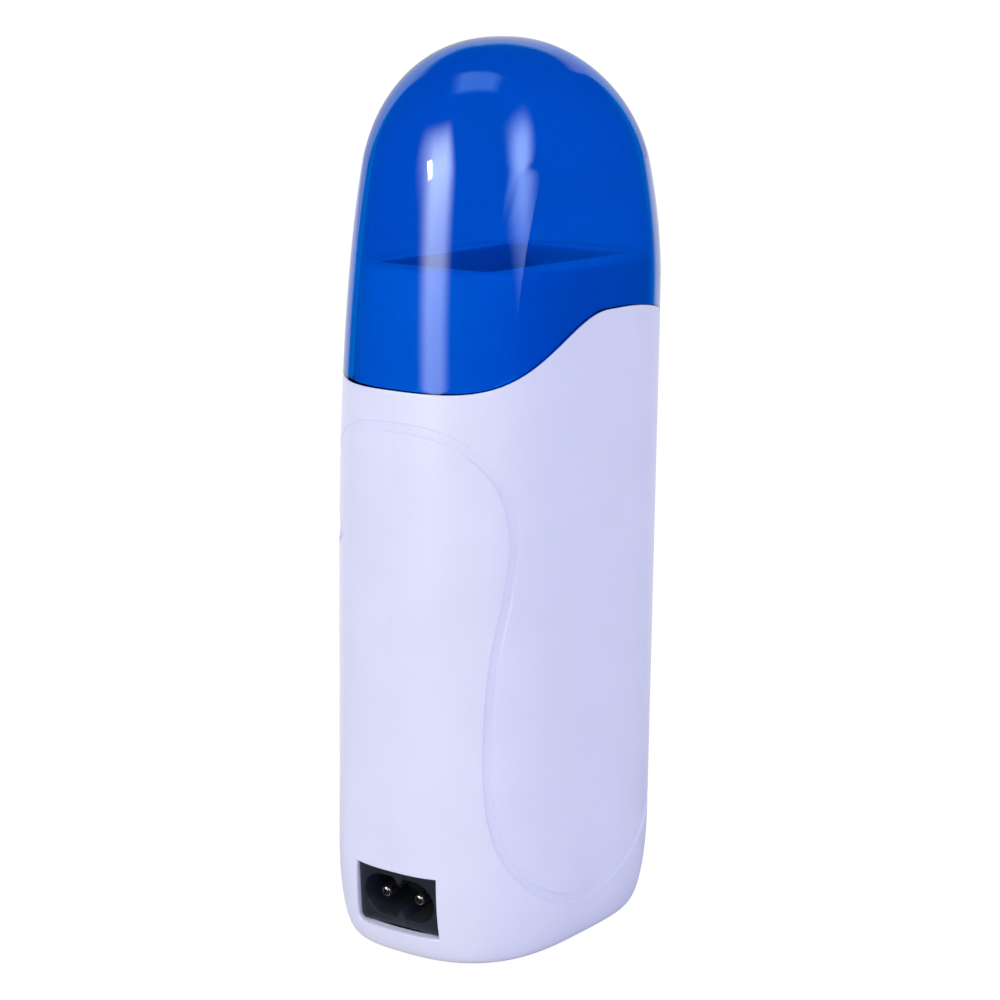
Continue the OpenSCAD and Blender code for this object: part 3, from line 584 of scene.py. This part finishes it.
faces += [(last + i, last + (i + 1) % count, (i + 1) % count, i) for i in range(count)]
neck = moulded("neck_ring", np.concatenate(rows), faces, crease=35)
neck_plastic = moulded_plastic("neck_plastic", (0.86, 0.82, 0.90), 0.45)
nodes, links = neck_plastic.node_tree.nodes, neck_plastic.node_tree.links
# Within the guide's opening in plan, the base colour turns a darker blue-grey: painted shade of
# the deep, dim well under the deck.
place = nodes.new("ShaderNodeTexCoord").outputs["Object"]
level = None
for axis, half in (("X", 0.0248), ("Y", 0.0138)):
    split = nodes.new("ShaderNodeSeparateXYZ")
    links.new(place, split.inputs[0])
    size = nodes.new("ShaderNodeMath")
    size.operation = "ABSOLUTE"
    links.new(split.outputs[axis], size.inputs[0])
    inside = nodes.new("ShaderNodeMapRange")
    inside.inputs["From Min"].default_value = half + 0.0001
    inside.inputs["From Max"].default_value = half - 0.0001
    links.new(size.outputs[0], inside.inputs["Value"])
    if level is not None:
        both = nodes.new("ShaderNodeMath")
        both.operation = "MULTIPLY"
        links.new(level, both.inputs[0])
        links.new(inside.outputs["Result"], both.inputs[1])
        level = both.outputs[0]
    else:
        level = inside.outputs["Result"]
guide_shade = nodes.new("ShaderNodeMix")
guide_shade.data_type = "RGBA"
links.new(level, guide_shade.inputs["Factor"])
links.new(nodes["Principled BSDF"].inputs["Base Color"].links[0].from_socket, guide_shade.inputs["A"])
guide_shade.inputs["B"].default_value = (0.5, 0.5, 0.68, 1)
links.new(guide_shade.outputs["Result"], nodes["Principled BSDF"].inputs["Base Color"])
neck.data.materials.append(neck_plastic)
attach(neck, "heater")
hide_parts("neck_collar")

# ---- Heater ----
# Behind the neck hangs a drawn aluminium cup. Two ceramic tiles between brass
# electrodes, wrapped in film, are clamped to its front by a sheet steel plate.

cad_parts["heater_cup"].material_slots[0].material = drawn_metal(
    "cup_aluminium", (0.78, 0.79, 0.80), 0.38, (1, 1, 0.05), 900)
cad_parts["ptc_tiles"].material_slots[0].material = moulded_plastic(
    "tile_ceramic", (0.24, 0.15, 0.10), 0.65, 0.2, 0.05)
electrode_brass = drawn_metal("electrode_brass", (0.83, 0.62, 0.30), 0.32, (0.05, 1, 1), 700)
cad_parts["inner_electrode"].material_slots[0].material = electrode_brass
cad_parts["outer_electrode"].material_slots[0].material = electrode_brass
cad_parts["insulation_film"].material_slots[0].material = moulded_plastic(
    "film_amber", (0.62, 0.27, 0.04), 0.2, 1.5, 0.01)
sheet_steel = drawn_metal("sheet_steel", (0.62, 0.63, 0.64), 0.36, (0.04, 1, 1), 800)
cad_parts["clamp_plate"].material_slots[0].material = sheet_steel

# ---- Cut-outs ----
# A bimetal thermostat and a sleeved thermal fuse lie on the cup's rear face, held
# down by one steel strap; both break the live lead when the cup gets too hot.

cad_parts["sensor_strap"].material_slots[0].material = sheet_steel
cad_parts["thermostat"].material_slots[0].material = moulded_plastic(
    "thermostat_case", (0.05, 0.05, 0.055), 0.5)
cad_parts["thermal_fuse"].material_slots[0].material = drawn_metal(
    "fuse_case", (0.70, 0.72, 0.74), 0.3, (1, 1, 4), 900)
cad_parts["fuse_sleeve"].material_slots[0].material = moulded_plastic(
    "sleeve_white", (0.80, 0.79, 0.74), 0.7, 0.6, 0.08)

# ---- Screws, tags and leads ----
# Zinc-plated steel screws hold the shells, the neck and the clamps. Brass tags are
# crimped on the pins, and insulated leads run from them to the heater.

screw_steel = drawn_metal("screw_steel", (0.60, 0.61, 0.63), 0.3, (1, 1, 1), 1200)
for node in ("shell_screws", "collar_screws", "heater_screws"):
    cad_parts[node].material_slots[0].material = screw_steel
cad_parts["inlet_terminals"].material_slots[0].material = drawn_metal(
    "tag_brass", (0.80, 0.58, 0.27), 0.34, (0.1, 1, 1), 800)
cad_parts["live_lead"].material_slots[0].material = moulded_plastic(
    "lead_brown", (0.13, 0.05, 0.02), 0.45, 0.4)
lead_white = moulded_plastic("lead_white", (0.78, 0.78, 0.76), 0.5, 0.4)
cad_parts["link_lead"].material_slots[0].material = lead_white
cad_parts["heater_lead"].material_slots[0].material = lead_white
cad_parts["neutral_lead"].material_slots[0].material = moulded_plastic(
    "lead_blue", (0.03, 0.10, 0.42), 0.45, 0.4)

# ---- Cap ----
# A translucent blue polycarbonate cap, moulded in one piece. It slides down over the
# neck until its rim, which follows the shoulder, stands just clear of the shells.

CAP_WALL, CAP_SEAT = 1.8, 0.03
RIM_OUT, RIM_IN = 0.04, 0.25    # roundings of the rim's outer and inner edge
cap_angles = even_angles(-180, 180, 200)[:-1]
cap_rim = shoulder_at(cap_angles) + CAP_SEAT


def cap_side(inset, edge):
    """Rows of one side of the cap's wall, from above its rim to its crown."""
    low = 141.5
    top = HEIGHT - inset
    rows = [skin(cap_angles, cap_rim + edge + (low - cap_rim - edge) * t, inset)
            for t in np.linspace(0, 1, 21)[:-1]]
    rows += [skin(cap_angles, low + (top - low) * sin(t * pi / 2) ** 1.15 + 0 * cap_rim, inset)
             for t in np.linspace(0, 1, 61)[:-1]]
    return rows


outside = cap_side(0, RIM_OUT)
inside = cap_side(CAP_WALL, RIM_IN)
rim = [skin(cap_angles, cap_rim + RIM_OUT - RIM_OUT * sin(a), RIM_OUT - RIM_OUT * cos(a))
       for a in np.linspace(0, pi / 2, 6)[1:]]
rim += [skin(cap_angles, cap_rim + RIM_IN - RIM_IN * cos(a), CAP_WALL - RIM_IN + RIM_IN * sin(a))
        for a in np.linspace(0, pi / 2, 5)[:-1]]
rows = outside[::-1] + rim + inside
count = len(cap_angles)
points = np.concatenate(rows + [[(0, 0, HEIGHT)], [(0, 0, HEIGHT - CAP_WALL)]])
faces = bands(0, len(rows), count, closed=True)
tip = len(rows) * count
faces += [(i, (i + 1) % count, tip) for i in range(count)]
faces += [(tip - count + i, tip - count + (i + 1) % count, tip + 1) for i in range(count)]
cap = moulded("cap_dome", points, faces, crease=60)


def clear_blue(name):
    """Polycarbonate dyed right through: red and green are lost along the way in it."""
    made = bpy.data.materials.new(name)
    made.use_nodes = True
    nodes, links = made.node_tree.nodes, made.node_tree.links
    shader = nodes["Principled BSDF"]
    shader.inputs["Base Color"].default_value = (0.11, 0.415, 0.865, 1)
    shader.inputs["Transmission Weight"].default_value = 1
    shader.inputs["IOR"].default_value = 1.49
    where = nodes.new("ShaderNodeTexCoord")
    polish = nodes.new("ShaderNodeTexNoise")
    polish.inputs["Scale"].default_value = 90
    polish.inputs["Detail"].default_value = 3
    links.new(where.outputs["Object"], polish.inputs["Vector"])
    gloss = nodes.new("ShaderNodeMapRange")
    gloss.inputs["To Min"].default_value = 0.005
    gloss.inputs["To Max"].default_value = 0.025
    links.new(polish.outputs["Fac"], gloss.inputs["Value"])
    links.new(gloss.outputs["Result"], shader.inputs["Roughness"])
    dye = nodes.new("ShaderNodeVolumeAbsorption")
    dye.inputs["Color"].default_value = (0, 0.78, 0.934, 1)
    dye.inputs["Density"].default_value = 1000
    through = nodes.new("ShaderNodeBsdfTransparent")
    through.inputs["Color"].default_value = (0.4, 0.95, 1, 1)
    kind = nodes.new("ShaderNodeLightPath")
    either = nodes.new("ShaderNodeMixShader")
    links.new(kind.outputs["Is Shadow Ray"], either.inputs[0])
    links.new(shader.outputs[0], either.inputs[1])
    links.new(through.outputs[0], either.inputs[2])
    out = nodes["Material Output"]
    links.new(either.outputs[0], out.inputs["Surface"])
    links.new(dye.outputs[0], out.inputs["Volume"])
    return made


cap.data.materials.append(clear_blue("cap_polycarbonate"))
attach(cap, "lid")
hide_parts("cap")

# ---- Camera ----
# A long lens a little above the heater, turned towards its narrow inlet end.

camera = bpy.data.objects.new("camera", bpy.data.cameras.new("camera"))
camera.data.sensor_width = 36
camera.data.lens = 93.608
camera.data.clip_end = 200
look = Vector((0.797901, 0.567647, -0.202805))
right = Vector((0.581844, -0.813196, 0.013046))
up = Vector((0.157514, 0.128410, 0.979132))
place = Vector((-0.438003, -0.311381, 0.202341))
turned = Matrix((right, up, -look)).transposed().to_4x4()
camera.matrix_world = Matrix.Translation(place) @ turned
bpy.context.scene.collection.objects.link(camera)
bpy.context.scene.camera = camera
bpy.context.scene.view_settings.view_transform = "Standard"

# ---- Lights ----
# Tall softboxes stand beside the narrow end and in front of the broad face, a low one
# carries on the second towards the foot, one hangs overhead, and a small lamp puts the
# bright spot on the cap. The room is white to the eye and dark where gloss mirrors it.


def softbox(name, low, high, width, fade, glow, colour, matt=None):
    """A lamp panel between two places, each a turn, a rise and a distance from the cap.
    Its brightness fades over shares of its size: at both sides, then up from a given
    share of it at the lower end, and at the upper end. Gloss mirrors it in its own
    colour, and matt surfaces are lit by the matt share of that, or by none of it."""
    aim = Vector((-0.02, 0, 0.15))
    a, b = [aim + far * Vector((cos(radians(turn)) * cos(radians(rise)),
                                sin(radians(turn)) * cos(radians(rise)), sin(radians(rise))))
            for turn, rise, far in (low, high)]
    middle, along = (a + b) / 2, (b - a).normalized()
    across = along.cross(middle - aim).normalized()
    sides, dim, lower, upper = fade
    lamp = bpy.data.lights.new(name, "AREA")
    lamp.shape = "RECTANGLE"
    lamp.size, lamp.size_y = width, (b - a).length
    lamp.energy = glow * pi * lamp.size * lamp.size_y
    lamp.color = colour
    lamp.use_nodes = True
    nodes, links = lamp.node_tree.nodes, lamp.node_tree.links
    place = nodes.new("ShaderNodeSeparateXYZ")
    links.new(nodes.new("ShaderNodeNewGeometry").outputs["Parametric"], place.inputs[0])
    level = None
    for axis, start, end, least in (("X", 0, sides, 0), ("X", 1, 1 - sides, 0),
                                    ("Y", 0, lower, dim), ("Y", 1, 1 - upper, 0)):
        edge = nodes.new("ShaderNodeMapRange")
        edge.interpolation_type = "SMOOTHSTEP"
        edge.inputs["From Min"].default_value = start
        edge.inputs["From Max"].default_value = end
        edge.inputs["To Min"].default_value = least
        links.new(place.outputs[axis], edge.inputs["Value"])
        if level is None:
            level = edge.outputs["Result"]
            continue
        joined = nodes.new("ShaderNodeMath")
        joined.operation = "MULTIPLY"
        links.new(level, joined.inputs[0])
        links.new(edge.outputs["Result"], joined.inputs[1])
        level = joined.outputs[0]
    links.new(level, nodes["Emission"].inputs["Strength"])
    panel = bpy.data.objects.new(name, lamp)
    turned = Matrix((across, along, across.cross(along))).transposed().to_4x4()
    panel.matrix_world = Matrix.Translation(middle) @ turned
    panel.visible_camera = panel.visible_diffuse = False
    bpy.context.scene.collection.objects.link(panel)
    if matt is None:
        return
    soft = bpy.data.objects.new(name + "_soft", lamp.copy())
    soft.data.color = [c * m for c, m in zip(colour, matt)]
    soft.matrix_world = panel.matrix_world
    soft.visible_camera = soft.visible_glossy = soft.visible_transmission = False
    bpy.context.scene.collection.objects.link(soft)


softbox("end_softbox", (177, -13, 0.5), (133, 40, 1.44), 0.27, (0.36, 0.34, 0.55, 0.56), 11.4,
        (1, 0.98, 0.81), (0.88, 0.89, 0.3))
softbox("face_softbox", (-116, 15, 0.5), (-144, 62.8, 0.5), 0.29, (0.45, 0.14, 0.16, 0.56),
        7.8, (0.81, 0.94, 1))
softbox("foot_softbox", (-91.5, 1.2, 0.76), (-125, 19.2, 0.5), 0.17, (0.5, 0.44, 0.74, 0.25),
        5.9, (0.81, 0.94, 1))
softbox("top_softbox", (110.7, 51.5, 1.2), (173, 79, 1.2), 0.4, (0.2, 0, 0.2, 0.3), 2.0,
        (0.4, 0.76, 1), (1, 1, 1))
softbox("spark_lamp", (143, 24.2, 1.2), (139.2, 28.4, 1.2), 0.036, (0.1, 0, 0.1, 0.1), 30,
        (1, 1, 1), (1, 1, 1))

world = bpy.data.worlds.new("studio")
bpy.context.scene.world = world
world.use_nodes = True
nodes, links = world.node_tree.nodes, world.node_tree.links


def ahead(nodes, links, way, soft):
    """1 for what stands behind the heater as it is photographed, 0 beside that."""
    turn, wide = radians(39), 0.74
    level = nodes.new("ShaderNodeVectorMath")
    level.operation = "MULTIPLY"
    level.inputs[1].default_value = (1, 1, 0)
    links.new(way, level.inputs[0])
    unit = nodes.new("ShaderNodeVectorMath")
    unit.operation = "NORMALIZE"
    links.new(level.outputs[0], unit.inputs[0])
    towards = nodes.new("ShaderNodeVectorMath")
    towards.operation = "DOT_PRODUCT"
    towards.inputs[1].default_value = (cos(turn), sin(turn), 0)
    links.new(unit.outputs[0], towards.inputs[0])
    within = nodes.new("ShaderNodeMapRange")
    within.inputs["From Min"].default_value = wide - soft
    within.inputs["From Max"].default_value = wide + soft
    links.new(towards.outputs["Value"], within.inputs["Value"])
    return within.outputs["Result"]


def choose(nodes, links, test, value, otherwise):
    """The first value for rays that pass the test, and the other for the rest."""
    mix = nodes.new("ShaderNodeMix")
    links.new(test, mix.inputs["Factor"])
    for socket, given in (("B", value), ("A", otherwise)):
        if isinstance(given, (int, float)):
            mix.inputs[socket].default_value = given
        else:
            links.new(given, mix.inputs[socket])
    return mix.outputs["Result"]


way = nodes.new("ShaderNodeTexCoord").outputs["Generated"]
sky = nodes.new("ShaderNodeSeparateXYZ")
links.new(way, sky.inputs[0])
low = nodes.new("ShaderNodeMapRange")
low.inputs["From Min"].default_value = 0.64
low.inputs["From Max"].default_value = 0.56
low.inputs["To Max"].default_value = 0.75
links.new(sky.outputs["Z"], low.inputs["Value"])
screen = nodes.new("ShaderNodeMath")
screen.operation = "MULTIPLY"
links.new(ahead(nodes, links, way, 0.015), screen.inputs[0])
links.new(low.outputs["Result"], screen.inputs[1])
kind = nodes.new("ShaderNodeLightPath")
seen = choose(nodes, links, kind.outputs["Is Glossy Ray"], screen.outputs[0], 0)
seen = choose(nodes, links, kind.outputs["Is Transmission Ray"], 1, seen)
seen = choose(nodes, links, kind.outputs["Is Camera Ray"], 1, seen)
fill = nodes.new("ShaderNodeBackground")
fill.inputs["Color"].default_value = (0.81, 0.874, 1, 1)
fill.inputs["Strength"].default_value = 1.01
paper = nodes["Background"]
paper.inputs["Color"].default_value = (1, 1, 1, 1)
links.new(seen, paper.inputs["Strength"])
shown = choose(nodes, links, kind.outputs["Is Glossy Ray"], 1, seen)
both = nodes.new("ShaderNodeMixShader")
links.new(shown, both.inputs[0])
links.new(fill.outputs[0], both.inputs[1])
links.new(paper.outputs[0], both.inputs[2])
links.new(both.outputs[0], nodes["World Output"].inputs["Surface"])

# ---- Floor ----
# A pale sweep, white to the eye, that takes a faint shadow close to the foot.

size = 30
mesh = bpy.data.meshes.new("floor")
mesh.from_pydata([(-size, -size, 0), (size, -size, 0), (size, size, 0), (-size, size, 0)], [],
                 [(0, 1, 2, 3)])
floor = bpy.data.objects.new("floor", mesh)
bpy.context.scene.collection.objects.link(floor)
paper = bpy.data.materials.new("floor_paper")
paper.use_nodes = True
nodes, links = paper.node_tree.nodes, paper.node_tree.links
matt = nodes["Principled BSDF"]
matt.inputs["Base Color"].default_value = (0.85, 0.84, 0.90, 1)
matt.inputs["Roughness"].default_value = 0.9
glow = nodes.new("ShaderNodeEmission")
glow.inputs["Strength"].default_value = 1.04
where = nodes.new("ShaderNodeTexCoord")
away = nodes.new("ShaderNodeVectorMath")
away.operation = "LENGTH"
links.new(where.outputs["Object"], away.inputs[0])
fade = nodes.new("ShaderNodeMapRange")
fade.interpolation_type = "SMOOTHSTEP"
fade.inputs["From Min"].default_value = 0.05
fade.inputs["From Max"].default_value = 0.35
fade.inputs["To Min"].default_value = 0.93
fade.inputs["To Max"].default_value = 1
links.new(away.outputs["Value"], fade.inputs["Value"])
kind = nodes.new("ShaderNodeLightPath")
black = nodes.new("ShaderNodeEmission")
black.inputs["Strength"].default_value = 0
behind = nodes.new("ShaderNodeMixShader")
links.new(ahead(nodes, links, where.outputs["Object"], 0.04), behind.inputs[0])
links.new(black.outputs[0], behind.inputs[1])
links.new(glow.outputs[0], behind.inputs[2])
eye = nodes.new("ShaderNodeMixShader")
links.new(fade.outputs["Result"], eye.inputs[0])
links.new(matt.outputs[0], eye.inputs[1])
links.new(glow.outputs[0], eye.inputs[2])
mirrored = nodes.new("ShaderNodeMixShader")
links.new(kind.outputs["Is Glossy Ray"], mirrored.inputs[0])
links.new(matt.outputs[0], mirrored.inputs[1])
links.new(behind.outputs[0], mirrored.inputs[2])
both = nodes.new("ShaderNodeMixShader")
links.new(choose(nodes, links, kind.outputs["Is Transmission Ray"], 1,
                 kind.outputs["Is Camera Ray"]), both.inputs[0])
links.new(mirrored.outputs[0], both.inputs[1])
links.new(eye.outputs[0], both.inputs[2])
links.new(both.outputs[0], nodes["Material Output"].inputs["Surface"])
mesh.materials.append(paper)
